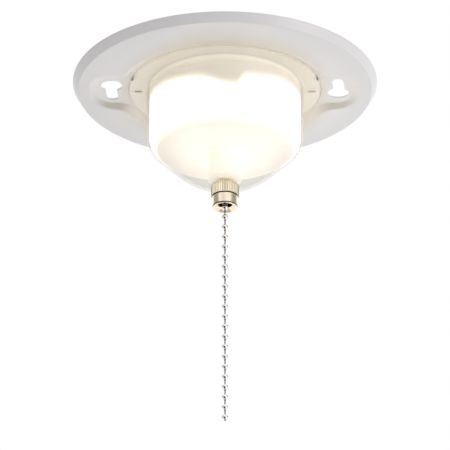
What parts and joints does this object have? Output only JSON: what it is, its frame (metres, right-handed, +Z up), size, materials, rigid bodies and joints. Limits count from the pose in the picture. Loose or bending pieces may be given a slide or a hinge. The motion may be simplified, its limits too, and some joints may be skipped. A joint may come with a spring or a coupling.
{
  "type": "pull chain ceiling light",
  "caption": "Round white ceiling light with a clear domed lens over a lit frosted diffuser, and a built-in pull switch worked by a hanging bead chain.",
  "frame": {"origin": "centre of the base plate's back face, which lies on the ceiling over the outlet box", "axes": "+Z up into the ceiling box along the light's own axis; the keyholes lie along X; the chain hangs towards -Z"},
  "size_m": [0.119, 0.119, 0.1653],
  "materials": {
    "white_plastic": "semi-gloss white moulding",
    "clear_plastic": "clear polished",
    "frosted_plastic": "frosted, lit from inside",
    "circuit_board": "white solder mask",
    "led_phosphor": "yellow phosphor, lit",
    "black_plastic": "moulded black",
    "resistor_body": "lacquered",
    "varistor_body": "epoxy coated",
    "rotor_plastic": "natural nylon",
    "steel": "zinc plated",
    "nickel": "bright nickel plate",
    "brass": "bare brass",
    "copper": "bare copper alloy",
    "wire_black": "wire cover",
    "wire_red": "wire cover",
    "wire_white": "wire cover"
  },
  "bodies": {
    "fixture": {"base_plate": "white_plastic", "light_carrier": "white_plastic", "rear_housing": "white_plastic", "lens": "clear_plastic", "diffuser": "frosted_plastic", "led_board": "circuit_board", "led_1": "led_phosphor", "led_2": "led_phosphor", "led_3": "led_phosphor", "led_4": "led_phosphor", "led_5": "led_phosphor", "led_6": "led_phosphor", "bridge_rectifier": "black_plastic", "driver_chip": "black_plastic", "switch_housing": "black_plastic", "switch_cap": "black_plastic", "fuse_resistor": "resistor_body", "surge_varistor": "varistor_body", "carrier_screw_front": "steel", "carrier_screw_back": "steel", "return_spring": "steel", "threaded_nipple": "nickel", "thimble_nut": "nickel", "terminal_plate_neutral": "nickel", "terminal_screw_neutral": "nickel", "terminal_plate_line": "brass", "terminal_screw_line": "brass", "fixed_contact_right": "brass", "fixed_contact_left": "brass", "lead_line": "wire_black", "lead_switched": "wire_red", "lead_neutral": "wire_white"},
    "chain_lead": {"plunger": "steel", "chain_bead_01": "nickel", "chain_bead_02": "nickel", "chain_bead_03": "nickel"},
    "rotor": {"contact_rotor": "rotor_plastic", "contact_bridge": "copper"},
    "chain_1": {"chain_bead_04": "nickel", "chain_bead_05": "nickel", "chain_bead_06": "nickel"},
    "chain_2": {"chain_bead_07": "nickel", "chain_bead_08": "nickel", "chain_bead_09": "nickel"},
    "chain_3": {"chain_bead_10": "nickel", "chain_bead_11": "nickel", "chain_bead_12": "nickel"},
    "chain_4": {"chain_bead_13": "nickel", "chain_bead_14": "nickel", "chain_bead_15": "nickel"},
    "chain_5": {"chain_bead_16": "nickel", "chain_bead_17": "nickel", "chain_bead_18": "nickel"},
    "chain_6": {"chain_bead_19": "nickel", "chain_bead_20": "nickel", "chain_bead_21": "nickel"},
    "chain_7": {"chain_bead_22": "nickel", "chain_bead_23": "nickel", "chain_bead_24": "nickel"}
  },
  "joints": [
    {"name": "chain_pull", "type": "slide", "parent": "fixture", "child": "chain_lead", "axis": [0, 0, -1], "range_m": [0, 0.006], "stiffness_N_per_m": 400, "springref_m": -0.003, "deforming": ["return_spring"]},
    {"name": "rotor_turn", "type": "hinge", "parent": "fixture", "child": "rotor", "pos_m": [0, 0, -0.0158], "axis": [0, 0, 1], "range_deg": [0, 90]},
    {"name": "chain_bend_1", "type": "hinge", "parent": "chain_lead", "child": "chain_1", "pos_m": [0, 0, -0.05466], "axis": [1, 0, 0], "range_deg": [-30, 30]},
    {"name": "chain_bend_2", "type": "hinge", "parent": "chain_1", "child": "chain_2", "pos_m": [0, 0, -0.06749], "axis": [0, 1, 0], "range_deg": [-30, 30]},
    {"name": "chain_bend_3", "type": "hinge", "parent": "chain_2", "child": "chain_3", "pos_m": [0, 0, -0.08033], "axis": [1, 0, 0], "range_deg": [-30, 30]},
    {"name": "chain_bend_4", "type": "hinge", "parent": "chain_3", "child": "chain_4", "pos_m": [0, 0, -0.09316], "axis": [0, 1, 0], "range_deg": [-30, 30]},
    {"name": "chain_bend_5", "type": "hinge", "parent": "chain_4", "child": "chain_5", "pos_m": [0, 0, -0.10599], "axis": [1, 0, 0], "range_deg": [-30, 30]},
    {"name": "chain_bend_6", "type": "hinge", "parent": "chain_5", "child": "chain_6", "pos_m": [0, 0, -0.11882], "axis": [0, 1, 0], "range_deg": [-30, 30]},
    {"name": "chain_bend_7", "type": "hinge", "parent": "chain_6", "child": "chain_7", "pos_m": [0, 0, -0.13165], "axis": [1, 0, 0], "range_deg": [-30, 30]}
  ],
  "couplings": [
    {"joint": "rotor_turn", "follows": "chain_pull", "rad_per_m": 261.79}
  ]
}
